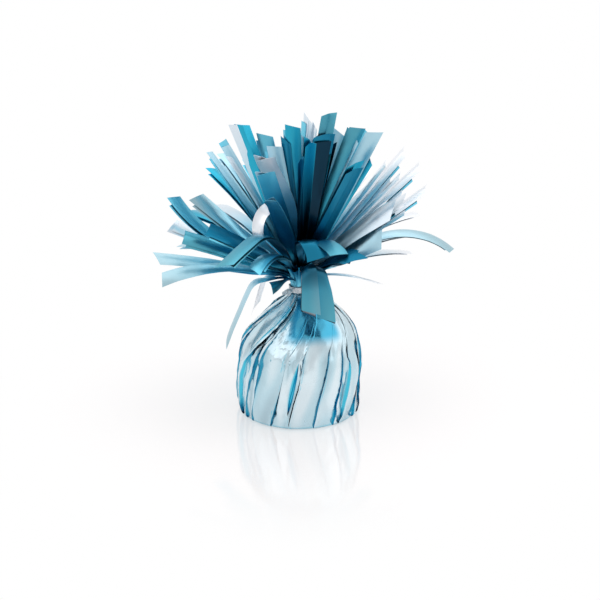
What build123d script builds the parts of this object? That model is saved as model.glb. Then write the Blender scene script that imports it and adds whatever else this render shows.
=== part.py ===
"""Balloon weight: a heavy core wrapped in pleated metallic film, tied at the neck, with a fringe plume above.

Millimetres and degrees. The origin is the centre of the base, +Z is up and -Y is the front.
"""

import os
from math import cos, radians, sin

from build123d import *

# Film and the room between neighbouring pieces
FOIL = 0.3
CLEARANCE = 0.3

# Heavy core
CORE_RADIUS = 25.4
CORE_DRAFT = 0.4
CORE_HEIGHT = 42.0
CORE_FOOT = 1.2

# Pleated wrap: the shoulder below the core's top, the crown drawn in above it, and the neck
SHOULDER_DROP = 11.6
CROWN_RISE = 26.5
NECK_LENGTH = 3.1
NECK_RADIUS = 4.0
CROWN_FULLNESS = 1.7
CROWN_BANDS = 5
CROWN_LEAN = 2.2
LEAN_HIGHEST = 2 / 3
FOOT_ROUND = 1.5

# Knife pleats: each rises slowly and drops sharply, and they swirl towards the neck
PLEATS = 23
PLEAT_DEPTH = 1.4
NECK_PLEAT_DEPTH = 0.8
PLEAT_RISE = 0.84
PLEAT_UNEVENNESS = 0.16
PLEAT_RHYTHM = 2.0
PLEAT_SWIRL = 34.0
FOLD_BACKING = 0.45

# Flat facets round the plain side of the film and the gathered bundle
FILM_FACETS = 46

# Clear film tie and its loose tail
TIE_THICKNESS = 0.7
TIE_WIDTH = 2.4
TAIL_LENGTH = 5.5
TAIL_AZIMUTH = 236.0
TAIL_DROOP = 24.0

# Gathered bundle of film that the fringe springs from, a little above the neck
GATHER_RISE = 3.4
GATHER_RADIUS = 8.5
GATHER_FOOT_RADIUS = 3.9
GATHER_BANDS = 5

# Fringe strips
STRIP_WIDTH = 7.0
STRIP_ROOT_WIDTH = 1.8
STRIP_TAPER = 16.0
TAPER_TRIM_DEPTH = 3.0
TAPER_OVERRUN = 1.0
CURL_WIDTH = 5.0
FOLD_WIDTH = 9.5

# Front flap: two strips hung from one creased stem
FLAP_AZIMUTH = 287.0
FLAP_ELEVATION = 28.0
FLAP_WIDTH = 15.0
FLAP_RISE = 12.0
FLAP_RISE_TURN = -10.0
FLAP_BEND = 8.0
FLAP_BEND_TURN = 112.0
FLAP_DROP = 19.0
FLAP_SLIT = 0.5
CREASE_GAP = 0.6

# Locks of strips behind the plume
LOW_LOCKS = 6
LOW_LOCK_FIRST = 34.0
LOW_LOCK_STEP = 23.0
LOW_LOCK_ELEVATIONS = (10.0, 18.0, 26.0)
LOW_LOCK_TURN = 22.0
LOW_LOCK_REACH = 56.0
HIGH_LOCKS = 3
HIGH_LOCK_FIRST = 54.0
HIGH_LOCK_STEP = 38.0
HIGH_LOCK_SPREAD = ((-10.0, 42.0), (10.0, 46.0), (-10.0, 51.0), (10.0, 55.0), (0.0, 63.0))
HIGH_LOCK_TURN = 14.0
HIGH_LOCK_REACH = 54.0
LOCK_RISE = 18.0
LOCK_RISE_TURN = 4.0
LOCK_STAGGER = 4.0
LOCK_LENGTH_SPREAD = 7
LOW_LOCK_LENGTH_STEP = 3
HIGH_LOCK_LENGTH_STEP = 4

# Fringe strips by place: azimuth, elevation, roll, then each stretch as (length, turn).
# A turn above zero droops, and one below zero lifts.
STRIPS = {
    "left_low_a": (193, 13, -18, ((28, 0), (30, 6))),
    "left_low_b": (204, 18, 0, ((18, 4), (41, 28))),
    "left_hook": (185, 28, 0, ((24, 2), (37, -32))),
    "left_rise": (166, 34, 0, ((51, -4),)),
    "left_pale": (173, 23, 0, ((52, 2),)),
    "left_wide": (206, 28, -50, ((20, 4), (32, 8))),
    "left_dark": (214, 36, -55, ((20, 4), (26, 10))),
    "left_arch": (235, 54, 0, ((23, 16), (16, 54), (21, 4))),
    "left_under": (223, 25, 0, ((31, -4),)),
    "left_front": (247, 40, 0, ((17, 8), (16, 30), (14, 26))),
    "left_leaf": (236, 8, 0, ((14, 16),)),
    "left_hang_a": (192, 1, 0, ((9, 6), (7, 60), (27, 4))),
    "left_hang_b": (164, 1, 0, ((5, 8), (5, 66), (16, 4))),
    "upper_left_thin": (170, 56, 20, ((61, 2),)),
    "upper_left_wide": (205, 63, -45, ((65, 4),)),
    "upper_left_tall": (171, 70, -70, ((66, 2),)),
    "upper_left_back": (139, 72, -45, ((58, 2),)),
    "upper_left_short": (190, 80, -85, ((54, 2),)),
    "upper_left_loop": (226, 77, 30, ((33, 4), (12, 12), (10, 2))),
    "upper_left_front": (236, 66, 20, ((54, 8),)),
    "upper_left_curl": (219, 47, 0, ((19, 8), (15, -84), (4, 0))),
    "front_left": (247, 60, 0, ((21, 2), (27, 20))),
    "top_a": (125, 86, -35, ((61, 2),)),
    "top_b": (283, 74, -15, ((64, 2),)),
    "top_spike": (66, 82, 24, ((64, 0),)),
    "top_tall": (353, 80, -86, ((69, -2),)),
    "top_dark": (320, 79, -50, ((61, 0),)),
    "upper_right_back": (40, 70, 46, ((60, 2),)),
    "upper_right_a": (9, 69, 74, ((65, 2),)),
    "upper_right_b": (345, 64, 85, ((69, 2),)),
    "upper_right_front": (322, 62, -60, ((59, 4),)),
    "right_fan_a": (17, 49, 20, ((66, 2),)),
    "right_fan_b": (10, 43, 20, ((66, 2),)),
    "right_fan_c": (3, 36, 20, ((62, 0),)),
    "right_fan_d": (349, 41, 20, ((53, 4),)),
    "right_fan_e": (337, 44, 30, ((49, 12),)),
    "right_low": (338, 30, 20, ((20, 0), (17, 2))),
    "right_arch": (14, 29, 0, ((30, 12), (41, 60))),
    "right_thin": (12, 2, 0, ((17, 16), (14, 10))),
    "front_fold": (280, 57, 0, ((15, -4), (8, 120), (4, 4))),
    "front_right": (312, 54, 0, ((13, 0), (8, 80), (4, 10))),
    "front_under": (317, 28, 0, ((14, 10),)),
    "front_right_point": (322, 36, 0, ((13, -4), (17, 50))),
}
STRIP_WIDTHS = {"upper_left_curl": CURL_WIDTH, "front_fold": FOLD_WIDTH}

# Sizes that follow from the ones above
INNER_FACE = CORE_RADIUS + CLEARANCE
INNER_OUTSIDE = INNER_FACE + FOIL
CAVITY_RADIUS = INNER_OUTSIDE + CLEARANCE
VALLEY_RADIUS = CAVITY_RADIUS + FOLD_BACKING
WRAP_RADIUS = VALLEY_RADIUS + PLEAT_DEPTH
CORE_SEAT = 2 * FOIL
CORE_TOP = CORE_SEAT + CORE_HEIGHT
SHOULDER_HEIGHT = CORE_TOP - SHOULDER_DROP
CORE_SHOULDER = SHOULDER_DROP - 2 * CLEARANCE
NECK_BOTTOM = SHOULDER_HEIGHT + CROWN_RISE
NECK_TOP = NECK_BOTTOM + NECK_LENGTH
GATHER_HEIGHT = NECK_TOP + GATHER_RISE
GATHER_CENTRE = Vector(0, 0, GATHER_HEIGHT)

os.makedirs("parts", exist_ok=True)


def save(part, name):
    """Label a finished piece and write it."""
    part.label = name
    export_step(part, f"parts/{name}.step")


def crown_radius(rise):
    """Radius over the pleats at a share of the way from the shoulder to the neck."""
    return NECK_RADIUS + (WRAP_RADIUS - NECK_RADIUS) * (1 - rise**CROWN_FULLNESS)


def crown_lean(rise):
    """Sideways lean of the crown, which bulges to the right above the shoulder."""
    highest = LEAN_HIGHEST**2 * (1 - LEAN_HIGHEST)
    return CROWN_LEAN * rise**2 * (1 - rise) / highest


def wrap_stations():
    """List the wrap's sections as (height, lean, radius over the pleats, pleat depth, swirl)."""
    stations = [
        (0, 0, WRAP_RADIUS - FOOT_ROUND, PLEAT_DEPTH / 2, 0),
        (FOOT_ROUND, 0, WRAP_RADIUS, PLEAT_DEPTH, 0),
        (SHOULDER_HEIGHT, 0, WRAP_RADIUS, PLEAT_DEPTH, 0),
    ]
    for band in range(1, CROWN_BANDS + 1):
        rise = band / CROWN_BANDS
        height = SHOULDER_HEIGHT + CROWN_RISE * rise
        depth = PLEAT_DEPTH + (NECK_PLEAT_DEPTH - PLEAT_DEPTH) * rise
        stations.append((height, crown_lean(rise), crown_radius(rise), depth, PLEAT_SWIRL * rise**2))
    stations.append((NECK_TOP, 0, NECK_RADIUS, NECK_PLEAT_DEPTH, PLEAT_SWIRL))
    return stations


def pleat_ring(height, lean, radius, depth, swirl):
    """Corners of one pleated section: a valley and a crest for each knife pleat."""
    corners = []
    for pleat in range(PLEATS):
        following = (pleat + 1) % PLEATS
        start = pleat + PLEAT_UNEVENNESS * sin(PLEAT_RHYTHM * pleat)
        finish = pleat + 1 + PLEAT_UNEVENNESS * sin(PLEAT_RHYTHM * following)
        crest = start + PLEAT_RISE * (finish - start)
        for place, reach in ((start, radius - depth), (crest, radius)):
            angle = radians(360 / PLEATS * place + swirl)
            corners.append((lean + reach * cos(angle), reach * sin(angle), height))
    return corners


def plain_ring(height, lean, radius):
    """Corners of one plain section, whose facets touch a circle of this radius."""
    reach = radius / cos(radians(180 / FILM_FACETS))
    corners = []
    for facet in range(FILM_FACETS):
        angle = radians(360 / FILM_FACETS * facet)
        corners.append((lean + reach * cos(angle), reach * sin(angle), height))
    return corners


def make_skin(rings):
    """Solid inside a skin of flat facets, drawn through rings that have as many corners each."""
    facets = [rings[0], rings[-1]]
    for lower, upper in zip(rings, rings[1:]):
        for corner in range(len(lower)):
            following = (corner + 1) % len(lower)
            facets.append((lower[corner], lower[following], upper[following]))
            facets.append((lower[corner], upper[following], upper[corner]))
    return Solid(Shell([Face(Wire.make_polygon(facet)) for facet in facets]))


def plain_sections(inset, floor, roof):
    """Round sections of the wrap's inside, inset from the pleats' valleys, from floor to roof."""
    sections = []
    for height, lean, radius, depth, _ in wrap_stations():
        sections.append((height, lean, radius - depth - inset))
    sections[0] = (floor, 0, sections[0][2])
    sections[-1] = (roof, 0, sections[-1][2])
    return sections


def strip_root(azimuth, elevation, roll):
    """Plane at a strip's root: X runs out along the strip, Y to its drooping side and Z across it."""
    level = cos(radians(elevation))
    along = Vector(
        level * cos(radians(azimuth)), level * sin(radians(azimuth)), sin(radians(elevation))
    )
    sideways = Vector(-sin(radians(azimuth)), cos(radians(azimuth)), 0)
    across = sideways.rotate(Axis((0, 0, 0), along), roll)
    return Plane(origin=GATHER_CENTRE + along * (GATHER_RADIUS + CLEARANCE), x_dir=along, z_dir=across)


def draw_run(stretches):
    """Draw a strip's side view from the sketch's origin: straight runs and tangent arcs."""
    end = Vector(0, 0)
    heading = Vector(1, 0)
    for length, turn in stretches:
        if turn == 0:
            stretch = Line(end, end + heading * length)
        else:
            stretch = JernArc(end, heading, length / radians(abs(turn)), turn)
        end = stretch @ 1
        heading = stretch % 1
    return end, heading


def make_strip(root, stretches, width):
    """One bent strip of film, narrowed to its gathered root."""
    taper = min(STRIP_TAPER, stretches[0][0])
    overrun = TAPER_OVERRUN * (width - STRIP_ROOT_WIDTH) / 2 / taper
    with BuildPart() as strip:
        with BuildSketch(root):
            with BuildLine():
                draw_run(stretches)
            trace(line_width=FOIL)
        extrude(amount=width / 2, both=True)
        with BuildSketch(Plane(origin=root.origin, x_dir=root.x_dir, z_dir=-root.y_dir)):
            for side in (1, -1):
                with BuildLine():
                    Polyline(
                        (-TAPER_OVERRUN, side * (STRIP_ROOT_WIDTH / 2 - overrun)),
                        (taper + TAPER_OVERRUN, side * (width / 2 + overrun)),
                        (-TAPER_OVERRUN, side * (width / 2 + overrun)),
                        close=True,
                    )
                make_face()
        extrude(amount=TAPER_TRIM_DEPTH, both=True, mode=Mode.SUBTRACT)
    return strip.part


def make_lock(leaves):
    """A lock of separate strips, each given as (azimuth, elevation, length, turn)."""
    with BuildPart() as lock:
        for azimuth, elevation, length, turn in leaves:
            stretches = ((LOCK_RISE, LOCK_RISE_TURN), (length - LOCK_RISE, turn))
            add(make_strip(strip_root(azimuth, elevation, 0), stretches, STRIP_WIDTH))
    return lock.part


# Heavy core, cast with a little draft, a chamfered foot and a wide chamfered shoulder
with BuildPart() as weight_core:
    with BuildSketch(Plane.XZ) as core_section:
        with BuildLine():
            Polyline(
                (0, CORE_SEAT),
                (CORE_RADIUS, CORE_SEAT),
                (CORE_RADIUS - CORE_DRAFT, CORE_TOP),
                (0, CORE_TOP),
                close=True,
            )
        make_face()
        foot = core_section.vertices().sort_by(Axis.X)[-1]
        shoulder = core_section.vertices().sort_by(Axis.X)[-2]
        chamfer(foot, CORE_FOOT)
        chamfer(shoulder, CORE_SHOULDER)
    revolve(axis=Axis.Z)
save(weight_core.part, "weight_core")

# Inner sheet, plain and drawn in to the neck
with BuildPart() as inner_wrap:
    outside = plain_sections(FOLD_BACKING + CLEARANCE, FOIL, NECK_TOP)
    add(make_skin([plain_ring(*section) for section in outside]))
    inside = plain_sections(FOLD_BACKING + CLEARANCE + FOIL, CORE_SEAT, NECK_TOP)
    add(make_skin([plain_ring(*section) for section in inside]), mode=Mode.SUBTRACT)
save(inner_wrap.part, "inner_wrap")

# Outer sheet, in knife pleats that swirl in to the neck
with BuildPart() as outer_wrap:
    add(make_skin([pleat_ring(*station) for station in wrap_stations()]))
    inside = plain_sections(FOLD_BACKING, FOIL, NECK_TOP)
    add(make_skin([plain_ring(*section) for section in inside]), mode=Mode.SUBTRACT)
save(outer_wrap.part, "outer_wrap")

# Clear film tie round the neck, with a loose tail at the front left
with BuildPart() as neck_tie:
    tie_inside = NECK_RADIUS + CLEARANCE
    tie_outside = tie_inside + TIE_THICKNESS
    tie_middle = (NECK_BOTTOM + NECK_TOP) / 2
    with BuildSketch(Plane.XY.offset(tie_middle - TIE_WIDTH / 2)):
        Circle(tie_outside)
        Circle(tie_inside, mode=Mode.SUBTRACT)
    extrude(amount=TIE_WIDTH)
    outward = Vector(cos(radians(TAIL_AZIMUTH)), sin(radians(TAIL_AZIMUTH)), 0)
    tail_root = Plane(
        origin=outward * (tie_inside + TIE_THICKNESS / 2) + Vector(0, 0, tie_middle),
        x_dir=outward,
        z_dir=Vector(-outward.Y, outward.X, 0),
    )
    with BuildSketch(tail_root):
        with BuildLine():
            JernArc((0, 0), (1, 0), TAIL_LENGTH / radians(TAIL_DROOP), TAIL_DROOP)
        trace(line_width=TIE_THICKNESS / 2)
    extrude(amount=TIE_WIDTH / 2, both=True)
save(neck_tie.part, "neck_tie")

# Gathered bundle: a flared foot on the neck under a rounded head, in flat facets like the film
with BuildPart() as fringe_gather:
    rings = [plain_ring(NECK_TOP, 0, GATHER_FOOT_RADIUS)]
    for band in range(GATHER_BANDS):
        tilt = radians(90 * band / GATHER_BANDS)
        rings.append(plain_ring(GATHER_HEIGHT + GATHER_RADIUS * sin(tilt), 0, GATHER_RADIUS * cos(tilt)))
    add(make_skin(rings))
save(fringe_gather.part, "fringe_gather")

# Fringe strips, one by one
for place, (azimuth, elevation, roll, stretches) in STRIPS.items():
    width = STRIP_WIDTHS.get(place, STRIP_WIDTH)
    save(make_strip(strip_root(azimuth, elevation, roll), stretches, width), f"strip_{place}")

# Front flap: a creased stem and the two strips that hang from its crest
flap_root = strip_root(FLAP_AZIMUTH, FLAP_ELEVATION, 0)
half_bend = (FLAP_BEND / 2, FLAP_BEND_TURN / 2)
save(make_strip(flap_root, ((FLAP_RISE, FLAP_RISE_TURN), half_bend), FLAP_WIDTH), "front_flap_stem")

with BuildLine():
    crest, crest_heading = draw_run(((FLAP_RISE, FLAP_RISE_TURN), half_bend))
for side, name in ((-1, "front_flap_left"), (1, "front_flap_right")):
    hung_width = (FLAP_WIDTH - FLAP_SLIT) / 2
    with BuildPart() as hung_strip:
        with BuildSketch(flap_root.offset(side * (FLAP_SLIT + hung_width) / 2)):
            with BuildLine():
                start = crest + crest_heading * CREASE_GAP
                bend = JernArc(start, crest_heading, half_bend[0] / radians(half_bend[1]), half_bend[1])
                Line(bend @ 1, bend @ 1 + (bend % 1) * FLAP_DROP)
            trace(line_width=FOIL)
        extrude(amount=hung_width / 2, both=True)
    save(hung_strip.part, name)

# Locks of strips behind the plume, low and high
for lock in range(LOW_LOCKS):
    azimuth = LOW_LOCK_FIRST + LOW_LOCK_STEP * lock
    leaves = []
    for leaf, elevation in enumerate(LOW_LOCK_ELEVATIONS):
        length = LOW_LOCK_REACH + LOW_LOCK_LENGTH_STEP * (lock + leaf) % LOCK_LENGTH_SPREAD
        leaves.append((azimuth, elevation + LOCK_STAGGER * (lock % 2), length, LOW_LOCK_TURN))
    save(make_lock(leaves), f"lock_back_low_{lock + 1}")
for lock in range(HIGH_LOCKS):
    azimuth = HIGH_LOCK_FIRST + HIGH_LOCK_STEP * lock
    leaves = []
    for leaf, (shift, elevation) in enumerate(HIGH_LOCK_SPREAD):
        length = HIGH_LOCK_REACH + HIGH_LOCK_LENGTH_STEP * (lock + leaf) % LOCK_LENGTH_SPREAD
        leaves.append((azimuth + shift, elevation, length, HIGH_LOCK_TURN))
    save(make_lock(leaves), f"lock_back_high_{lock + 1}")
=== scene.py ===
"""Dress the balloon weight: pleated satin film round a heavy core, a tied neck and a fringe plume.

Sizes are written in millimetres and degrees, and become metres where a mesh is finished.
"""

import logging
from dataclasses import dataclass, field
from enum import Enum
from math import ceil, cos, pi, radians, sin
from typing import Optional

import bmesh
import bpy
from bpy.types import Material, Node, NodeSocket, NodeTree
from bpy.types import Object as Piece
from mathutils import Matrix, Vector, noise


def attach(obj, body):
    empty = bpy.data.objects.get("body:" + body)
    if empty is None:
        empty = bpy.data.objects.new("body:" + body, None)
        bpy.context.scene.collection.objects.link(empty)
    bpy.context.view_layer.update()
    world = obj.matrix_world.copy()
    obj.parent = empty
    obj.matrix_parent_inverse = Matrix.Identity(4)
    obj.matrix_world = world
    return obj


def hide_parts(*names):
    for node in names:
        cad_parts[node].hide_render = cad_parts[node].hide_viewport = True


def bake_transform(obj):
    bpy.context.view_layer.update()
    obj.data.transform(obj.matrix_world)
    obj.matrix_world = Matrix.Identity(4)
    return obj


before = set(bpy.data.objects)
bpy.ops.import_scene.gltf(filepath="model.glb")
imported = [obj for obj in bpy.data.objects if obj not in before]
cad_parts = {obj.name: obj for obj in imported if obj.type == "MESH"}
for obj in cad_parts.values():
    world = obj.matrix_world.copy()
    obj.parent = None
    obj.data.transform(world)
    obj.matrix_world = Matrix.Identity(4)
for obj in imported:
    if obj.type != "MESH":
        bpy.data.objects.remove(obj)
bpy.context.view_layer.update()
LOG = logging.getLogger("balloon_weight")

MM = 0.001
FILM = 0.1
SEAM = 0.002
RING_END = 0.9999
SHARP_FOLD = radians(42)
BASE_BODY = "wrapped_weight"
Pair = tuple[float, float]
Stretches = tuple[Pair, ...]
Colour = tuple[float, float, float]
Point = tuple[float, float, float]
Row = tuple[float, float, float, float]
Rows = tuple[Row, ...]
Feeds = dict[str | int, object]


class Tone(Enum):
    """Film colours in linear light, deep to pale, partly painted: shade in the darkest, reflection in the
    palest.
    """

    NAVY = (0.001, 0.029, 0.058)
    DEEP = (0.009, 0.205, 0.345)
    TEAL = (0.024, 0.400, 0.575)
    DUSK = (0.100, 0.400, 0.510)
    SKY = (0.165, 0.590, 0.760)
    MIST = (0.370, 0.550, 0.620)
    PALE = (0.440, 0.680, 0.790)
    SILVER = (0.720, 0.800, 0.870)
    FROST = (0.880, 0.905, 0.945)


NAVY, DEEP, TEAL, DUSK, SKY, MIST, PALE, SILVER, FROST = Tone


def ease(share: float) -> float:
    """Smooth step of a share that is held between 0 and 1."""
    held = min(1.0, max(0.0, share))
    return held * held * (3 - 2 * held)


def hump(offset: float) -> float:
    """Rounded rise of 1 that falls to 0 at an offset of 1 to either side."""
    return max(0.0, 1 - offset**2)


def shares(count: int) -> list[float]:
    """Shares of the way after each of a number of equal steps."""
    return [step / count for step in range(1, count + 1)]


def mix(start: Colour, end: Colour, share: float) -> Colour:
    """Colour at a share of the way from start to end."""
    return tuple(a + (b - a) * share for a, b in zip(start, end))


def ring_angle(around: float) -> float:
    """Angle at a share of the way round a ring, the same at both of its ends."""
    return 2 * pi * (0 if around > RING_END else around)


@dataclass(frozen=True)
class Crumple:
    """One scale of smooth noise: its size, its density in each direction and its seed."""

    size: float
    x: float
    y: float
    z: float = 1.0
    seed: float = 0.0

    def at(self, x: float, y: float = 1.0, z: float = 0.0) -> float:
        """Its height at a place, between about -size and size."""
        return self.size * noise.noise(Vector((x * self.x, y * self.y, self.seed + z * self.z)))


class Bench:
    """Node tree of one material or world, with a short call that adds a node and feeds it."""

    def __init__(self, tree: NodeTree) -> None:
        """Start with an empty tree."""
        self.tree = tree
        tree.nodes.clear()

    def add(self, kind: str, feeds: Optional[Feeds] = None, **settings: object) -> Node:
        """Add a node, set its own properties and feed its inputs.

        Args:
            kind: the node's type name, without its ShaderNode prefix.
            feeds: for each input that is fed, a plain value, an output, or a node for its first output.
            settings: values of the node's own properties.

        Returns:
            The new node.
        """
        node = self.tree.nodes.new("ShaderNode" + kind)
        for name, value in settings.items():
            setattr(node, name, value)
        for name, feed in (feeds or {}).items():
            value = feed.outputs[0] if isinstance(feed, Node) else feed
            if isinstance(value, NodeSocket):
                self.tree.links.new(value, node.inputs[name])
            else:
                node.inputs[name].default_value = value
        return node


def blank_material(name: str) -> tuple[Material, Bench]:
    """Make a material without nodes, and the bench that fills it."""
    material = bpy.data.materials.new(name)
    material.use_nodes = True
    return material, Bench(material.node_tree)


@dataclass(frozen=True)
class FilmFinish:
    """Satin metallised film, coloured by the piece's own colour attribute, painted shade and light
    included.
    """

    name: str = "fringe_film"
    roughness: Pair = (0.28, 0.38)
    coat: float = 0.2
    coat_roughness: float = 0.16
    crinkle_per_m: float = 420.0
    crinkle_mm: float = 0.02
    crinkle_strength: float = 0.35
    mottle_per_m: float = 60.0
    mottle_span: Pair = (0.35, 0.65)
    mottle_shade: Pair = (0.93, 1.07)
    crease_per_m: float = 70.0
    crease_mm: float = 0.03
    crease_strength: float = 0.6
    crease_stretch: float = 1.0

    def material(self) -> Material:
        """Make the film's material.

        Returns:
            The material.
        """
        material, bench = blank_material(self.name)
        place = bench.add("TexCoord").outputs["Object"]
        tint_and_shade = bench.add("Attribute", attribute_name="film_tint_and_shade")
        mottle = bench.add("TexNoise", {"Scale": self.mottle_per_m, "Detail": 4.0, "Vector": place})
        dark, light = self.mottle_shade
        shade = bench.add("MapRange", {"To Min": dark, "To Max": light, "Value": mottle})
        low, high = self.mottle_span
        smooth, rough = self.roughness
        spans = {"From Min": low, "From Max": high, "To Min": smooth, "To Max": rough, "Value": mottle}
        gloss = bench.add("MapRange", spans)
        grain = bench.add("TexNoise", {"Scale": self.crinkle_per_m, "Detail": 5.0, "Vector": place})
        long = bench.add("Mapping", {"Scale": (1.0, 1.0, 1.0 / self.crease_stretch), "Vector": place})
        ridges = {"Scale": self.crease_per_m, "Detail": 3.0, "Vector": long}
        crease = bench.add("TexNoise", ridges, noise_type="RIDGED_MULTIFRACTAL")
        depth = self.crease_mm * MM
        fold = bench.add("Bump", {"Strength": self.crease_strength, "Distance": depth, "Height": crease})
        relief = {"Strength": self.crinkle_strength, "Distance": self.crinkle_mm * MM}
        film = {
            "Base Color": bench.add("HueSaturation", {"Color": tint_and_shade, "Value": shade}),
            "Metallic": 1.0,
            "Roughness": gloss,
            "Coat Weight": self.coat,
            "Coat Roughness": self.coat_roughness,
            "Normal": bench.add("Bump", {**relief, "Height": grain, "Normal": fold}),
        }
        bench.add("OutputMaterial", {"Surface": bench.add("BsdfPrincipled", film)})
        return material


@dataclass(frozen=True)
class GrainedFinish:
    """Plain finish whose colour and surface follow one fine grain."""

    name: str
    first: Colour
    second: Colour
    grain: Feeds
    bump: Feeds
    surface: Feeds

    def material(self) -> Material:
        """Make the material.

        Returns:
            The material.
        """
        material, bench = blank_material(self.name)
        place = bench.add("TexCoord").outputs["Object"]
        grain = bench.add("TexNoise", {**self.grain, "Vector": place})
        tones = {"Color1": (*self.first, 1.0), "Color2": (*self.second, 1.0), "Fac": grain}
        coat = {
            **self.surface,
            "Base Color": bench.add("MixRGB", tones),
            "Normal": bench.add("Bump", {**self.bump, "Height": grain}),
        }
        bench.add("OutputMaterial", {"Surface": bench.add("BsdfPrincipled", coat)})
        return material


CLEAR_FILM = GrainedFinish(
    "clear_film",
    first=(0.95, 0.96, 0.97),
    second=(0.78, 0.84, 0.88),
    grain={"Scale": 700.0},
    bump={"Strength": 0.5, "Distance": 0.15 * MM},
    surface={"Roughness": 0.12, "Transmission Weight": 0.25, "Coat Weight": 0.6},
)
CAST_CORE = GrainedFinish(
    "cast_core",
    first=(0.24, 0.235, 0.225),
    second=(0.42, 0.41, 0.39),
    grain={"Scale": 350.0, "Detail": 6.0},
    bump={"Distance": 0.2 * MM},
    surface={"Roughness": 0.85},
)


@dataclass
class FilmSheet:
    """Mesh under way for one piece of film: grids are laid in it, shaped, and given their thickness."""

    name: str
    thickness: float = FILM
    bm: bmesh.types.BMesh = field(default_factory=bmesh.new)

    def __post_init__(self) -> None:
        """Add the layer that holds the film's colour, with its painted shade and light."""
        self.tint_and_shade = self.bm.verts.layers.float_color.new("film_tint_and_shade")

    def lay(self, columns: int, rows: int) -> list[tuple[bmesh.types.BMVert, float, float]]:
        """Lay a flat grid to be shaped.

        Args:
            columns: faces along the first direction.
            rows: faces along the second direction.

        Returns:
            Each new vertex with its place along both directions, from 0 to 1.
        """
        made = bmesh.ops.create_grid(self.bm, x_segments=columns, y_segments=rows, size=0.5)
        return [(vert, vert.co.x + 0.5, vert.co.y + 0.5) for vert in made["verts"]]

    def colour(self, vert: bmesh.types.BMVert, colour: Colour) -> None:
        """Give one vertex its film colour, painted shade and light included."""
        vert[self.tint_and_shade] = (*colour, 1.0)

    def finish(self, material: Material, merge: float = 0.0) -> Piece:
        """Close the film and make the piece.

        Args:
            material: the finish of the whole piece.
            merge: distance in millimetres under which seam vertices are merged, 0 for none.

        Returns:
            The finished piece, with its place in its mesh.
        """
        if merge:
            bmesh.ops.remove_doubles(self.bm, verts=self.bm.verts, dist=merge)
        bmesh.ops.recalc_face_normals(self.bm, faces=self.bm.faces)
        self.bm.normal_update()
        faced = [(vert, vert.normal * self.thickness) for vert in self.bm.verts]
        bmesh.ops.extrude_face_region(self.bm, geom=self.bm.faces[:], use_keep_orig=True)
        for vert, offset in faced:
            vert.co -= offset
        bmesh.ops.recalc_face_normals(self.bm, faces=self.bm.faces)
        bmesh.ops.scale(self.bm, vec=(MM, MM, MM), verts=self.bm.verts)
        for face in self.bm.faces:
            face.smooth = True
        for edge in self.bm.edges:
            edge.smooth = edge.calc_face_angle(pi) < SHARP_FOLD
        mesh = bpy.data.meshes.new(self.name)
        self.bm.to_mesh(mesh)
        self.bm.free()
        mesh.materials.append(material)
        piece = bpy.data.objects.new(self.name, mesh)
        bpy.context.scene.collection.objects.link(piece)
        LOG.info("%s: %d faces", self.name, len(mesh.polygons))
        return piece


@dataclass(frozen=True)
class Gather:
    """Place of the gathered film above the tie that every strip springs from."""

    height: float = 64.0
    radius: float = 8.5
    clearance: float = 0.3
    neck_top: float = 60.6
    neck_radius: float = 2.6

    @property
    def centre(self) -> Vector:
        """Middle of the gather."""
        return Vector((0, 0, self.height))


@dataclass(frozen=True)
class Leaf:
    """How one leaf of film lies on its strip, in millimetres at its tip."""

    lift: float = 0.0
    shift: float = 0.0
    longer: float = 0.0
    slant: float = 3.0
    breadth: float = 1.0
    root: Tone = TEAL
    tip: Tone = SKY


def under(root: Tone, tip: Tone, **lie: float) -> Leaf:
    """Second leaf of a strip, a little below the first unless it is told otherwise."""
    return Leaf(**{"lift": -0.9, "shift": 0.9, "longer": -2.5, "slant": 2.0, **lie}, root=root, tip=tip)


def beside(root: Tone, tip: Tone, shift: float, longer: float, lift: float = 1.0) -> Leaf:
    """Narrow leaf that shows beside the others of its strip."""
    return Leaf(lift=lift, shift=shift, longer=longer, slant=4.0, breadth=0.6, root=root, tip=tip)


@dataclass(frozen=True)
class Strip:
    """One fringe strip: its place, its bends and the look of its film."""

    place: str
    azimuth: float
    elevation: float
    roll: float
    stretches: Stretches
    root: Tone = TEAL
    tip: Tone = SKY
    width: float = 7.0
    slant: float = 3.0
    fold: float = 0.0
    camber: float = 0.4
    twist: float = 0.0
    sweep: float = 0.0
    body: str = BASE_BODY
    # Reach of the painted shade at the root, as a share of the taper.
    heart_shade: float = 0.6
    second: Optional[Leaf] = under(TEAL, SKY)
    extra: tuple[Leaf, ...] = ()

    @property
    def length(self) -> float:
        """Length along the strip from its root to its tip."""
        return sum(length for length, _ in self.stretches)


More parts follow.
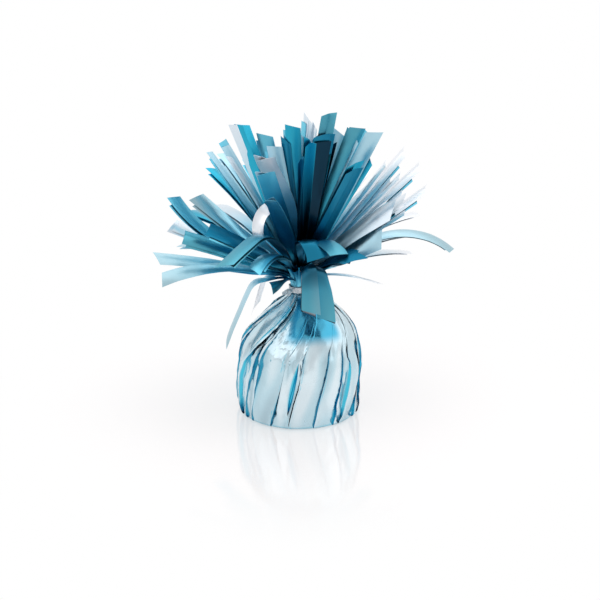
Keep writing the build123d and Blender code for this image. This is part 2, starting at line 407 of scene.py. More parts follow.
@dataclass
class StripPath:
    """Centre line of a strip: out of the neck, through its root and along its stretches."""

    strip: Strip
    gather: Gather
    tuck: float = 9.0
    knee: float = 0.55
    straight_on: Pair = (1000.0, 0.0)

    def __post_init__(self) -> None:
        """Work out the root and its directions."""
        azimuth, elevation = radians(self.strip.azimuth), radians(self.strip.elevation)
        level = cos(elevation)
        self.along = Vector((level * cos(azimuth), level * sin(azimuth), sin(elevation)))
        sideways = Vector((-sin(azimuth), cos(azimuth), 0))
        self.across = Matrix.Rotation(radians(self.strip.roll), 3, self.along) @ sideways
        self.droop = self.across.cross(self.along)
        self.root = self.gather.centre + self.along * (self.gather.radius + self.gather.clearance)
        outward = Vector((cos(azimuth), sin(azimuth), 0))
        self.neck = outward * self.gather.neck_radius + Vector((0, 0, self.gather.neck_top))

    def at(self, distance: float) -> tuple[Vector, Vector]:
        """Point and heading at a distance past the root.

        Args:
            distance: millimetres past the root, below zero inside the gather.

        Returns:
            The point and the heading there.
        """
        if distance < 0:
            return self.inside(1 + distance / self.tuck)
        x = y = turned = 0.0
        left = distance
        for length, turn in (*self.strip.stretches, self.straight_on):
            step = min(left, length)
            bend = radians(turn) / length
            if bend:
                x += (sin(turned + bend * step) - sin(turned)) / bend
                y += (cos(turned) - cos(turned + bend * step)) / bend
            else:
                x += cos(turned) * step
                y += sin(turned) * step
            turned += bend * step
            left -= step
            if left <= 0:
                break
        point = self.root + self.along * x + self.droop * y
        return point, self.along * cos(turned) + self.droop * sin(turned)

    def inside(self, share: float) -> tuple[Vector, Vector]:
        """Point and heading inside the gather, at a share of the way from the neck to the root."""
        knee = self.root - self.along * (self.tuck * self.knee)
        first = self.neck.lerp(knee, share)
        last = knee.lerp(self.root, share)
        return first.lerp(last, share), (last - first).normalized()


@dataclass
class StripFilm:
    """Builds the leaves of film that make up one strip."""

    gather: Gather
    taper: float = 16.0
    root_width: float = 1.8
    root_crease: float = 0.9
    crease_runs_on: float = 1.5
    crinkle: float = 0.13
    crinkle_at_root: float = 0.4
    waves: tuple[Crumple, ...] = (Crumple(1.0, 0.11, 0.7), Crumple(0.5, 0.33, 1.6, seed=9.0))
    lift_rate: float = 1.6
    tip_bias: float = 1.4
    step: float = 1.5
    columns: int = 8
    heart_shade_above: float = 15.0
    heart_shade_over: float = 30.0
    seed_step: float = 31.7

    def lay_leaf(self, sheet: FilmSheet, path: StripPath, leaf: Leaf, seed: float) -> None:
        """Lay one leaf of film along a strip.

        Args:
            sheet: the piece that the leaf belongs to.
            path: the strip's centre line.
            leaf: how this leaf lies on the strip.
            seed: number that makes this leaf's crinkles its own.
        """
        strip = path.strip
        length = strip.length + leaf.longer
        rows = ceil((length + path.tuck) / self.step)
        taper = min(self.taper, strip.stretches[0][0])
        # Painted shade in the crowded heart of the plume: each leaf darkens to this towards its root, navy
        # for the steeper strips.
        depth = mix(DEEP.value, NAVY.value, ease((strip.elevation - self.heart_shade_above) / self.heart_shade_over))
        for vert, run, breadth in sheet.lay(rows, self.columns):
            side = 2 * breadth - 1
            distance = run * (path.tuck + length + leaf.slant * side / 2) - path.tuck
            share = max(0.0, distance / length)
            opened = ease(distance / taper)
            width = self.root_width + (strip.width * leaf.breadth - self.root_width) * opened
            point, heading = path.at(distance)
            across = path.across - heading * path.across.dot(heading)
            across = Matrix.Rotation(radians(strip.twist * share), 3, heading) @ across.normalized()
            upper = heading.cross(across)
            closed = radians(strip.fold * opened)
            from_fold = side * width / 2
            sideways = from_fold * cos(closed)
            height = -abs(from_fold) * sin(closed)
            creased = 1 - ease(distance / taper / self.crease_runs_on)
            height += self.root_crease * creased * (1 - abs(side))
            height += strip.camber * opened * (1 - side * side)
            wave = sum(waves.at(distance, side, seed) for waves in self.waves)
            height += self.crinkle * wave * (self.crinkle_at_root + (1 - self.crinkle_at_root) * opened)
            height += leaf.lift * ease(distance / length * self.lift_rate)
            sideways += leaf.shift * share + strip.sweep * ease(share * 2 - 1)
            vert.co = point + across * sideways + upper * height
            colour = mix(leaf.root.value, leaf.tip.value, ease(share**self.tip_bias))
            sheet.colour(vert, mix(depth, colour, ease(distance / (self.taper * strip.heart_shade))))

    def lay_strip(self, sheet: FilmSheet, strip: Strip, seed: float) -> None:
        """Lay every leaf of one strip in a piece."""
        path = StripPath(strip, self.gather)
        leaves = [Leaf(slant=strip.slant, root=strip.root, tip=strip.tip)]
        if strip.second:
            leaves.append(strip.second)
        leaves.extend(strip.extra)
        for number, leaf in enumerate(leaves):
            self.lay_leaf(sheet, path, leaf, seed + self.seed_step * number)


LEFT_STRIPS = (
    Strip("left_low_a", 193, 13, -18, ((28, 0), (30, 6)), SKY, MIST, slant=-3, twist=-14, heart_shade=0.5,
          body="left_low_a_strip", second=None),
    Strip("left_low_b", 204, 18, 0, ((18, 4), (41, 28)), SKY, MIST, twist=-38, heart_shade=0.5, second=None),
    Strip("left_hook", 185, 28, 0, ((24, 2), (37, -32)), TEAL, SKY, slant=4, twist=-40,
          second=under(SKY, SKY)),
    Strip("left_rise", 166, 34, 0, ((51, -4),), SKY, MIST, twist=-45, second=under(SKY, MIST)),
    Strip("left_pale", 173, 23, 0, ((52, 2),), SKY, FROST, slant=2, twist=-50,
          second=under(SKY, SILVER, longer=2)),
    Strip("left_wide", 206, 28, -50, ((20, 4), (32, 8)), TEAL, DUSK, slant=1, camber=0.9,
          second=under(TEAL, DUSK)),
    Strip("left_dark", 214, 36, -55, ((20, 4), (26, 10)), DEEP, DEEP, slant=2),
    Strip("left_arch", 235, 54, 0, ((23, 16), (16, 54), (21, 4)), DEEP, DUSK, slant=-5,
          second=under(DEEP, DUSK)),
    Strip("left_under", 223, 25, 0, ((31, -4),), DEEP, DEEP, slant=2),
    Strip("left_front", 247, 40, 0, ((17, 8), (16, 30), (14, 26)), TEAL, SKY, slant=4),
    Strip("left_leaf", 236, 8, 0, ((14, 16),), SKY, DUSK, slant=6, twist=-20, camber=0.9, heart_shade=0.15,
          second=None),
    Strip("left_hang_a", 192, 1, 0, ((9, 6), (7, 60), (27, 4)), PALE, MIST, slant=5, heart_shade=0.4,
          body="left_hang_a_strip", second=None),
    Strip("left_hang_b", 164, 1, 0, ((5, 8), (5, 66), (15, 2)), SILVER, FROST, slant=4, heart_shade=0.3,
          body="left_hang_b_strip", second=under(SILVER, FROST)),
)

UPPER_LEFT_STRIPS = (
    Strip("upper_left_thin", 170, 56, 20, ((61, 2),), TEAL, PALE, fold=35, heart_shade=1.2,
          extra=(beside(SKY, PALE, -3.0, -9),)),
    Strip("upper_left_wide", 205, 63, -45, ((65, 4),), TEAL, PALE, heart_shade=1.0,
          second=under(TEAL, SKY, longer=2, shift=-1.6), extra=(beside(SKY, SILVER, 3.4, -4),)),
    Strip("upper_left_tall", 171, 70, -70, ((66, 2),), TEAL, TEAL, fold=24, heart_shade=1.2,
          second=under(SKY, SILVER, shift=2.4, longer=1)),
    Strip("upper_left_back", 139, 72, -45, ((58, 2),), TEAL, SKY, slant=3.5, heart_shade=1.8),
    Strip("upper_left_short", 190, 80, -85, ((54, 2),), TEAL, PALE, slant=2, heart_shade=1.8),
    Strip("upper_left_loop", 226, 77, 30, ((33, 4), (12, 12), (10, 2)), SKY, FROST, 9.0, -5, sweep=-4,
          heart_shade=0.8, second=under(SKY, FROST, longer=0.4)),
    Strip("upper_left_front", 236, 66, 20, ((54, 8),), SKY, SILVER, 8.5, -2, heart_shade=0.9,
          second=under(TEAL, SKY, longer=0.4)),
    Strip("upper_left_curl", 219, 47, 0, ((19, 8), (15, -84), (9, -70)), FROST, FROST, 5.5, slant=2,
          twist=45, heart_shade=0.4, second=None),
    Strip("front_left", 247, 60, 0, ((21, 2), (27, 20)), TEAL, SKY, slant=7, heart_shade=0.6,
          second=under(TEAL, SKY, longer=0.3)),
)

# The navy of the steep strips in the middle is partly painted shade among them, over the film's own teal.
TOP_STRIPS = (
    Strip("top_a", 125, 86, -35, ((61, 2),), DEEP, TEAL, slant=2, heart_shade=2.2,
          extra=(beside(NAVY, DEEP, 3.4, -6), beside(DEEP, PALE, -3.4, -4, -1.4))),
    Strip("top_b", 283, 74, -15, ((64, 2),), DEEP, TEAL, 6.0, slant=-5, fold=40, heart_shade=2.2,
          second=under(NAVY, TEAL, longer=-1), extra=(beside(NAVY, DEEP, -3.0, -9, -1.5),)),
    Strip("top_spike", 66, 82, 24, ((64, 0),), TEAL, SILVER, slant=5, fold=55, heart_shade=2.2,
          extra=(beside(PALE, FROST, -3.2, -3), beside(TEAL, SILVER, 3.0, -8))),
    Strip("top_tall", 353, 80, -86, ((69, -2),), NAVY, DUSK, 7.5, fold=30, heart_shade=2.4,
          second=under(NAVY, DEEP, longer=-9),
          extra=(beside(NAVY, NAVY, 3.6, -14), beside(NAVY, TEAL, -3.4, -11))),
    Strip("top_dark", 320, 79, -50, ((61, 0),), NAVY, DEEP, second=under(NAVY, NAVY),
          extra=(beside(NAVY, TEAL, 3.2, -10),)),
    Strip("upper_right_back", 40, 70, 46, ((60, 2),), TEAL, PALE, heart_shade=2.0),
    Strip("upper_right_a", 9, 69, 74, ((65, 2),), TEAL, DUSK, slant=-2, heart_shade=1.8,
          second=under(DEEP, DUSK), extra=(beside(TEAL, PALE, -3.6, -7),)),
    Strip("upper_right_b", 345, 64, 85, ((69, 2),), TEAL, PALE, slant=-4, heart_shade=1.4,
          second=under(TEAL, SKY), extra=(beside(DEEP, TEAL, -3.8, -12, -1.2),)),
    Strip("upper_right_front", 322, 62, -60, ((59, 4),), DEEP, TEAL, 6.0, slant=8, fold=22, heart_shade=1.2,
          second=under(DEEP, DEEP, slant=7)),
)

# Second leaf of the fan strips, navy at its root: painted shade that shows as a dark edge between the pale
# strips.
SHADE_EDGE_LEAF = under(NAVY, SKY, shift=-0.8, longer=-6.0)
FAN_EDGES = (beside(SKY, FROST, 3.0, -9), beside(DEEP, SILVER, -3.2, -13, -1.6))

# The silver and frost of the fan on the right are partly the film's paler back, partly painted reflection
# of the bright room.
RIGHT_STRIPS = (
    Strip("right_fan_a", 17, 49, 20, ((66, 2),), SILVER, FROST, 5.5, slant=4, fold=18, second=SHADE_EDGE_LEAF,
          extra=FAN_EDGES),
    Strip("right_fan_b", 10, 43, 20, ((66, 2),), SILVER, FROST, 5.5, fold=14, second=SHADE_EDGE_LEAF,
          extra=FAN_EDGES),
    Strip("right_fan_c", 3, 36, 20, ((62, 0),), SILVER, FROST, 6.0, fold=16, second=SHADE_EDGE_LEAF,
          extra=FAN_EDGES),
    Strip("right_fan_d", 349, 41, 20, ((53, 4),), PALE, FROST, twist=14, second=SHADE_EDGE_LEAF, extra=FAN_EDGES),
    Strip("right_fan_e", 337, 44, 30, ((49, 12),), MIST, SILVER, 8.0, slant=7, twist=34, heart_shade=0.4,
          second=under(DUSK, PALE)),
    Strip("right_low", 338, 30, 20, ((20, 0), (17, 2)), MIST, PALE, 8.0, slant=4, twist=62, heart_shade=0.35,
          second=under(DUSK, PALE)),
    Strip("right_arch", 14, 29, 0, ((30, 12), (41, 60)), PALE, MIST, 6.0, twist=28,
          body="right_arch_strip", second=under(PALE, MIST)),
    Strip("right_thin", 12, 2, 0, ((17, 16), (14, 10)), SILVER, FROST, 2.6, heart_shade=0.3,
          body="right_thin_strip", second=None),
    Strip("front_fold", 280, 57, 0, ((15, -4), (8, 120), (6, 4)), DEEP, DEEP, 8.5, slant=-2, sweep=4.0,
          second=under(DEEP, DEEP)),
    Strip("front_right", 305, 56, 0, ((14, 0), (8, 80), (8, 10)), DEEP, DUSK, 9.5, slant=1, sweep=3.0,
          second=under(DEEP, DUSK)),
    Strip("front_under", 317, 28, 0, ((14, 10),), DEEP, DEEP),
    Strip("front_right_point", 320, 32, 0, ((13, -4), (16, 50)), DEEP, DEEP, slant=10, twist=62,
          second=under(NAVY, DEEP)),
)


@dataclass(frozen=True)
class LockRow:
    """One row of locks behind the plume: where they stand, and how their strips spread and bend.

    Each pair of the spread is one strip's azimuth off the lock's own, and its elevation.
    """

    place: str
    locks: int
    first: float
    step: float
    spread: Stretches
    reach: float
    turn: float
    lengthen: int
    stagger: float = 0.0


LOCK_ROWS = (
    LockRow("low", 6, 34.0, 23.0, ((0, 10), (0, 18), (0, 26)), 56.0, 22.0, 3, stagger=4.0),
    LockRow("high", 3, 54.0, 38.0, ((-10, 42), (10, 46), (-10, 51), (10, 55), (0, 63)), 54.0, 14.0, 4),
)


@dataclass
class FringePlume:
    """The fringe: every strip that shows by itself, and the locks behind."""

    gather: Gather
    material: Material
    strips: tuple[Strip, ...] = LEFT_STRIPS + UPPER_LEFT_STRIPS + TOP_STRIPS + RIGHT_STRIPS
    lock_rows: tuple[LockRow, ...] = LOCK_ROWS
    lock_tips: tuple[Tone, ...] = (SKY, PALE, SILVER, TEAL)
    rise: Pair = (18.0, 4.0)
    length_spread: int = 7
    soften: Pair = (-2.0, 1.0)
    reflection_pale_below: float = 45.0
    widest_slant: float = 3.5
    seeds: Pair = (3.1, 7.3)
    lock_seed_step: float = 5.9

    def build(self) -> list[Piece]:
        """Build every strip and lock.

        Returns:
            The finished pieces.
        """
        pieces = [self.build_strip(number, strip) for number, strip in enumerate(self.strips)]
        for row in self.lock_rows:
            for lock in range(row.locks):
                leaves = [self.lock_strip(row, lock, leaf) for leaf in range(len(row.spread))]
                pieces.append(self.build_lock(f"lock_back_{row.place}_{lock + 1}", leaves))
        return pieces

    def build_strip(self, number: int, strip: Strip) -> Piece:
        """Build one strip as a piece of its own."""
        sheet = FilmSheet(f"film_{strip.place}")
        StripFilm(self.gather).lay_strip(sheet, strip, self.seeds[0] + self.seeds[1] * number)
        piece = sheet.finish(self.material)
        if strip.body == BASE_BODY:
            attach(piece, BASE_BODY)
        else:
            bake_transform(piece)
        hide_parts(f"strip_{strip.place}")
        return piece

    def lock_strip(self, row: LockRow, lock: int, leaf: int) -> Strip:
        """One strip of a lock, with the tones of the strips beside it.

        Args:
            row: the lock's row.
            lock: number of the lock in its row.
            leaf: number of the strip in its lock.

        Returns:
            The strip.
        """
        shift, elevation = row.spread[leaf]
        azimuth = row.first + row.step * lock + shift
        lifted = elevation + row.stagger * (lock % 2)
        number = lock + leaf
        length = row.reach + row.lengthen * number % self.length_spread
        stretches = (self.rise, (length - self.rise[0], row.turn))
        root, tip = TEAL, self.lock_tips[number % len(self.lock_tips)]
        # Locks towards the right are pale: partly painted reflection of the bright room.
        if azimuth < self.reflection_pale_below:
            root, tip = PALE, FROST
        slant = self.widest_slant - number % 3
        return Strip("lock", azimuth, lifted, 0, stretches, root, tip, slant=slant, second=under(root, tip))

    def build_lock(self, name: str, leaves: list[Strip]) -> Piece:
        """Build one lock of strips as one piece."""
        sheet = FilmSheet(f"film_{name}")
        for number, strip in enumerate(leaves):
            StripFilm(self.gather).lay_strip(sheet, strip, self.lock_seed_step * number + strip.azimuth)
        piece = sheet.finish(self.material)
        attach(piece, BASE_BODY)
        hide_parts(name)
        return piece


@dataclass
class FrontFlap:
    """Two strips that rise together at the front, fold over a crease and hang down."""

    gather: Gather
    material: Material
    azimuth: float = 287.0
    elevation: float = 28.0
    root_width: float = 2.4
    crest_width: float = 10.6
    width: float = 15.4
    flare_over: float = 24.0
    dome: float = 1.8
    crest_reach: float = 11.0
    root_crease: float = 1.2
    slant: float = 3.0
    seam: float = 0.7
    lap: float = 0.7
    overlap: float = 0.4
    turn: float = 0.09
    rise: Pair = (12.0, -10.0)
    half_bend: Pair = (4.0, 56.0)
    crease_gap: float = 0.6
    drop: float = 19.0
    soften: float = 1.6
    back_longer: float = 0.6
    back_lift: float = -0.9
    waves: Crumple = Crumple(0.25, 0.09, 0.25, seed=77.0)
    grid: tuple[int, int] = (38, 8)
    shadow_rim_run: Pair = (0.95, 0.05)
    shadow_rim_side: Pair = (0.85, 0.15)
    seam_highlight: float = 0.3
    seam_shadow: float = 0.5
    crest_shade: float = 0.7

    def build(self) -> list[Piece]:
        """Build both hung strips, each from its root over the crease to its cut end.

        Returns:
            The finished pieces.
        """
        stretches = (self.rise, self.half_bend, (self.crease_gap, 0.0), self.half_bend, (self.drop, 0.0))
        whole = Strip("front_flap", self.azimuth, self.elevation, 0, stretches, width=self.width)
        path = StripPath(whole, self.gather)
        crease = self.rise[0] + self.half_bend[0] + self.crease_gap / 2
        point, heading = path.at(crease)
        pieces = []
        for side, place, longer, nodes in (
            (-1, "left", -3.0, ("front_flap_left", "front_flap_stem")),
            (1, "right", 1.0, ("front_flap_right",)),
        ):
            sheet = FilmSheet(f"film_front_flap_{place}")
            self.lay_half(sheet, path, side, longer, 0.0)
            self.lay_half(sheet, path, side, longer + self.back_longer, self.back_lift)
            piece = sheet.finish(self.material)
            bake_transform(piece)
            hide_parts(*nodes)
            pieces.append(piece)
        return pieces

    def lay_half(self, sheet: FilmSheet, path: StripPath, side: int, longer: float, lift: float) -> None:
        """Lay one leaf of one hung strip.

        Args:
            sheet: the piece that the leaf belongs to.
            path: the flap's centre line.
            side: -1 for the left strip, 1 for the right one.
            longer: millimetres added to the hung end.
            lift: millimetres off the centre line, towards the upper face, 0 for the leaf that shows.
        """
        rise = self.rise[0]
        crest = rise + self.half_bend[0]
        length = path.strip.length + longer
        lap = -2 * self.lap if lift else self.lap
        for vert, run, breadth in sheet.lay(*self.grid):
            slant = self.slant * (breadth - 0.5)
            distance = run * (path.tuck + length + slant) - path.tuck
            opened = ease(distance / rise)
            flared = ease((distance - rise) / self.flare_over)
            flare = self.crest_width + (self.width - self.crest_width) * flared
            width = self.root_width + (flare - self.root_width) * opened
            outside = breadth if side > 0 else 1 - breadth
            place = side * (outside * width / 2 - (1 - outside) * lap * opened)
            point, heading = path.at(distance)
            across = (path.across - heading * path.across.dot(heading)).normalized()
            overlap = 0.0 if side > 0 else self.overlap + self.turn * (width / 2 + place) * opened
            wave = self.waves.at(distance, place, side + lift)
            height = lift * ease(distance / length * 2) + overlap + wave * opened
            height += self.root_crease * (1 - opened) * (1 - abs(2 * breadth - 1))
            near_crest = hump((distance - crest) / self.crest_reach)
            height -= self.dome * near_crest * (2 * place / width) ** 2
            vert.co = point + across * place + heading.cross(across) * height
            # The hidden leaf is silver, with painted shadow at its end and outer edge where it shows below
            # the flap.
            if lift:
                past_run = (run - self.shadow_rim_run[0]) / self.shadow_rim_run[1]
                past_side = (outside - self.shadow_rim_side[0]) / self.shadow_rim_side[1]
                colour = mix(SILVER.value, NAVY.value, ease(max(past_run, past_side)))
            else:
                share = ease((distance - rise) / (length - rise))
                colour = mix(DEEP.value, DUSK.value, share)
                # Painted highlight beside the seam on the left strip, painted shadow of the left strip on
                # the right one.
                beside_seam = ease(1 - outside / self.seam)
                lighter = mix(colour, MIST.value, self.seam_highlight * share * beside_seam)
                darker = mix(colour, DEEP.value, self.seam_shadow * beside_seam)
                # Painted shade at the crest, where the film folds over.
                colour = mix(lighter if side < 0 else darker, NAVY.value, self.crest_shade * near_crest)
            sheet.colour(vert, colour)


@dataclass(frozen=True)
class Zone:
    """Part of the crown about a direction: each pair is where its share starts, and over what it grows."""

    azimuth: float
    nearness: Pair
    above: Pair
    below: Pair
    strength: float = 1.0

    def share(self, turn: Vector, height: float) -> float:
        """Strength of the zone in a direction from the axis, at a height."""
        heading = Vector((cos(radians(self.azimuth)), sin(radians(self.azimuth))))
        near = ease((turn.dot(heading) - self.nearness[0]) / self.nearness[1])
        low = ease((height - self.above[0]) / self.above[1])
        return self.strength * near * low * ease((self.below[0] - height) / self.below[1])


@dataclass
class PleatedWrap:
    """The outer sheet, laid round the core in knife pleats that swirl in to the neck.

    The row counts are those of its base, foot, wall, crown and neck. Each bulge is (azimuth, size,
    middle height, reach up and down).
    """

    material: Material
    radius: float = 28.15
    pleats: int = 23
    depth: float = 1.4
    base_depth: float = 0.25
    neck_depth: float = 0.8
    unevenness: float = 0.3
    rhythm: float = 2.0
    swirl: float = 34.0
    side_swirl: float = 11.0
    underside: float = 0.15
    foot_round: float = 1.5
    shoulder: float = 31.0
    neck_bottom: float = 57.5
    neck_top: float = 60.6
    neck_radius: float = 4.0
    fullness: float = 3.0
    draws_in: float = 16.0
    lean: float = 2.2
    lean_peak: float = 27 / 4
    row_counts: tuple[int, ...] = (7, 3, 34, 36, 3)
    panel_columns: int = 11
    tuck_columns: int = 5
    turned_pleats: tuple[int, ...] = (17, 18, 19, 20, 21, 22, 0, 1, 2, 3, 4, 5, 6)
    open_pleats: tuple[int, ...] = (12, 16, 17, 21, 3, 9)
    lap: float = 1.12
    crown_lap: float = 0.10
    crown_lap_over: float = 12.0
    gap: float = 0.42
    gap_span: Pair = (17.0, 15.0)
    tuck_bias: float = 0.7
    knee: float = 0.5
    tilts: Crumple = Crumple(0.55, 6.1, 0.5, seed=11.0)
    tilts_about: float = 0.5
    kinks: Crumple = Crumple(0.35, 2.9, 3.5, seed=5.0)
    kinks_about: float = 0.65
    laps: Crumple = Crumple(0.10, 5.3, 0.04, seed=4.0)
    gap_middles: Crumple = Crumple(12.0, 3.3, 0.5, seed=19.0)
    knees: Crumple = Crumple(0.45, 8.3, 0.02, seed=17.0)
    bows: Crumple = Crumple(0.9, 7.9, 0.03, seed=3.0)
    depths: Crumple = Crumple(1.5, 2.7, 0.05, seed=7.0)
    shades: Crumple = Crumple(2.4, 1.0, 0.035, seed=15.0)
    dents: Crumple = Crumple(0.45, 2.6, 2.6, 0.07)
    patches: Crumple = Crumple(1.8, 1.7, 1.7, 0.05, 4.0)
    wrinkles: Crumple = Crumple(0.45, 8.0, 8.0, 0.15)
    ridges: tuple[Crumple, ...] = (Crumple(1.4, 9.0, 9.0, 0.10, 7.0), Crumple(0.5, 19.0, 19.0, 0.22, 3.0))
    ridge_width: float = 0.3
    least_rumpled: float = 0.4
    usual_depth: float = 0.85
    least_depth: float = 0.1
    full_beyond_neck: float = 10.0
    full_above_base: float = 5.0
    stand_off: float = 0.3
    slack: float = 0.5
    # Where the flap hangs over the wrap: smoother film there, and a painted reflection of the flap.
    covered: Zone = Zone(285.0, (0.78, 0.12), (38.0, 5.0), (58.0, 3.0), 0.9)
    covered_smooth: float = 0.8
    taut: Zone = Zone(322.0, (0.72, 0.16), (33.0, 6.0), (55.0, 4.0))
    drawn_flat: float = 0.9
    bulges: Rows = ((188.0, 0.8, 8.0, 16.0), (-8.0, 1.1, 31.0, 15.0))
    panel_tone: Colour = (0.500, 0.690, 0.770)
    light_tone: Colour = (0.710, 0.825, 0.875)
    grey_tone: Colour = (0.390, 0.535, 0.605)
    # Painted shade deep in the tucks, towards the valleys and along the foot.
    fold_shade_tone: Colour = (0.06, 0.52, 0.70)
    # Painted reflection of the flap's colour on the wrap beneath it.
    flap_reflection_tone: Colour = (0.001, 0.34, 0.54)
    shade_steps: Pair = (4.3, 1.6)
    most_shade: float = 0.95
    fold_shade_fade: float = 2.2
    valley_shade_fade: float = 4.0
    crown_light: float = 0.5
    crown_light_over: float = 8.0
    taut_grey: float = 0.35
    foot_shade: Pair = (0.6, 1.4)
    flat: Pair = (0.215, 0.098)

    def lean_at(self, height: float) -> float:
        """Sideways lean of the crown at a height."""
        share = min(1.0, max(0.0, (height - self.shoulder) / (self.neck_bottom - self.shoulder)))
        return self.lean * share**2 * (1 - share) * self.lean_peak

    def reach_at(self, height: float) -> float:
        """Radius over the pleats at a height: a straight wall that draws in smoothly to the neck."""
        share = max(0.0, (height - self.draws_in) / (self.neck_bottom - self.draws_in))
        return self.neck_radius + (self.radius - self.neck_radius) * (1 - share**self.fullness)

    def stations(self) -> list[Row]:
        """List the rows of the wrap from the middle of its base to the top of its neck.

        Returns:
            Each row as (radius over the pleats, height, pleat depth, swirl).
        """
        base, foot, wall, crown, neck = self.row_counts
        edge, foot_top = self.radius - self.foot_round, self.underside + self.foot_round
        rows = [(0.0, self.underside, 0.0, -self.side_swirl)]
        for share in shares(base):
            rows.append((edge * share, self.underside, self.base_depth * share, -self.side_swirl))
        for share in shares(foot):
            reach = edge + self.foot_round * sin(share * pi / 2)
            height = foot_top - self.foot_round * cos(share * pi / 2)
            rows.append((reach, height, self.depth * share, -self.side_swirl))
        for share in shares(wall):
            height = foot_top + (self.shoulder - foot_top) * share
            rows.append((self.reach_at(height), height, self.depth, -self.side_swirl * (1 - share)))
        crown_height = self.neck_bottom - self.shoulder
        onward = self.side_swirl * crown_height / self.shoulder
        for share in shares(crown):
            height = self.shoulder + crown_height * share
            depth = self.depth + (self.neck_depth - self.depth) * share
            swirl = onward * share + (self.swirl - onward) * share**2
            rows.append((self.reach_at(height), height, depth, swirl))
        for share in shares(neck):
            height = self.neck_bottom + (self.neck_top - self.neck_bottom) * share
            rows.append((self.neck_radius, height, self.neck_depth, self.swirl))
        return rows

    def start_of(self, pleat: int, height: float) -> float:
        """Place where a pleat starts at a height, counted in pleats."""
        number = pleat % self.pleats
        start = pleat + self.unevenness * sin(self.rhythm * number)
        start += self.tilts.at(number) * (height / self.shoulder - self.tilts_about)
        return start + self.kinks.at(number) * abs(height / self.shoulder - self.kinks_about)

    def lap_of(self, pleat: int, height: float) -> float:
        """Share of a pleat's width that its panel covers, above 1 where it laps over the next."""
        lap = self.lap + self.laps.at(pleat, height)
        if pleat in self.open_pleats:
            middle, reach = self.gap_span
            middle += self.gap_middles.at(pleat)
            lap -= self.gap * hump((height - middle) / reach)
        return lap + self.crown_lap * ease((height - self.shoulder) / self.crown_lap_over)

    def section(self, column: int, height: float) -> tuple[float, float, float]:
        """Place on one pleat's fold.

        Args:
            column: column of the grid, counted round the wrap.
            height: height of the row.

        Returns:
            The angle, counted in pleats, the share of the pleat's depth, 1 at its crest, and
            how far the place is tucked under the crest, 0 on the panel.
        """
        columns = self.panel_columns + self.tuck_columns
        pleat, step = divmod(column, columns)
        turned = pleat in self.turned_pleats
        if turned:
            step = columns - step
        start, finish = self.start_of(pleat, height), self.start_of(pleat + 1, height)
        lap = self.lap_of(pleat, height)
        tucked = max(0.0, (step - self.panel_columns) / self.tuck_columns)
        if tucked:
            place, crest = lap + (1 - lap) * tucked**self.tuck_bias, 1 - ease(tucked)
        else:
            share = step / self.panel_columns
            knee = self.knee + self.knees.at(pleat, height)
            crest = knee * share * 2 if share < 0.5 else knee + (1 - knee) * (share * 2 - 1)
            place = lap * share
        if turned:
            place = 1 - place
        return start + place * (finish - start), crest, tucked

    def bulge(self, angle: float, height: float) -> float:
        """Millimetres that the wrap stands out at its left foot and its right shoulder."""
        out = 0.0
        for azimuth, size, middle, reach in self.bulges:
            facing = max(0.0, cos(angle - radians(azimuth)))
            out += size * (facing * hump((height - middle) / reach))
        return out

    def relief(self, turn: Vector, height: float) -> float:
        """Millimetres that dents and creases lift the film, in a direction from the axis."""
        place = (turn.x, turn.y, height)
        crease = self.wrinkles.at(*place)
        crease += sum(self.ridge_width * ridge.size - abs(ridge.at(*place)) for ridge in self.ridges)
        crease *= self.least_rumpled + max(0.0, self.patches.at(*place))
        crease *= 1 - self.covered_smooth * self.covered.share(turn, height)
        return self.stand_off + self.dents.at(*place) + crease

    def tone(self, pleat: int, crest: float, tucked: float, turn: Vector, height: float) -> Colour:
        """Colour of the film at a place on a pleat: its tone with painted shade, light and reflection.

        Args:
            pleat: number of the pleat.
            crest: share of the pleat's depth, 1 at its crest.
            tucked: how far the place is tucked under the crest, 0 on the panel.
            turn: its direction from the axis.
            height: its height.

        Returns:
            The colour.
        """
        taut, covered = self.taut.share(turn, height), self.covered.share(turn, height)
        # Painted shade: tucks darken deep under the crest, and each panel greys towards its valley.
        pale = 1 - ease(tucked * self.fold_shade_fade) if tucked else (1 + ease(crest * self.valley_shade_fade)) / 2
        pale = max(pale, taut, covered)
        colour = mix(self.fold_shade_tone, self.panel_tone, pale)
        # Panel to panel the tone turns paler or greyer at random: partly the film's own sheen, partly
        # painted light and shade.
        shade = self.shades.at(self.shade_steps[0] * pleat + self.shade_steps[1] * crest, height)
        strength = min(self.most_shade, abs(shade)) * pale
        colour = mix(colour, self.light_tone if shade > 0 else self.grey_tone, strength)
        # Painted light on the crown, paler above the shoulder.
        crown = ease((height - self.shoulder) / self.crown_light_over)
        colour = mix(colour, self.light_tone, self.crown_light * pale * crown)
        colour = mix(colour, self.grey_tone, self.taut_grey * taut)
        # Painted reflection of the flap on the film under it.
        colour = mix(colour, self.flap_reflection_tone, covered)
        # Painted shade along the foot, where the wrap meets the floor.
        strength, top = self.foot_shade
        return mix(colour, self.fold_shade_tone, strength * ease(top - height))

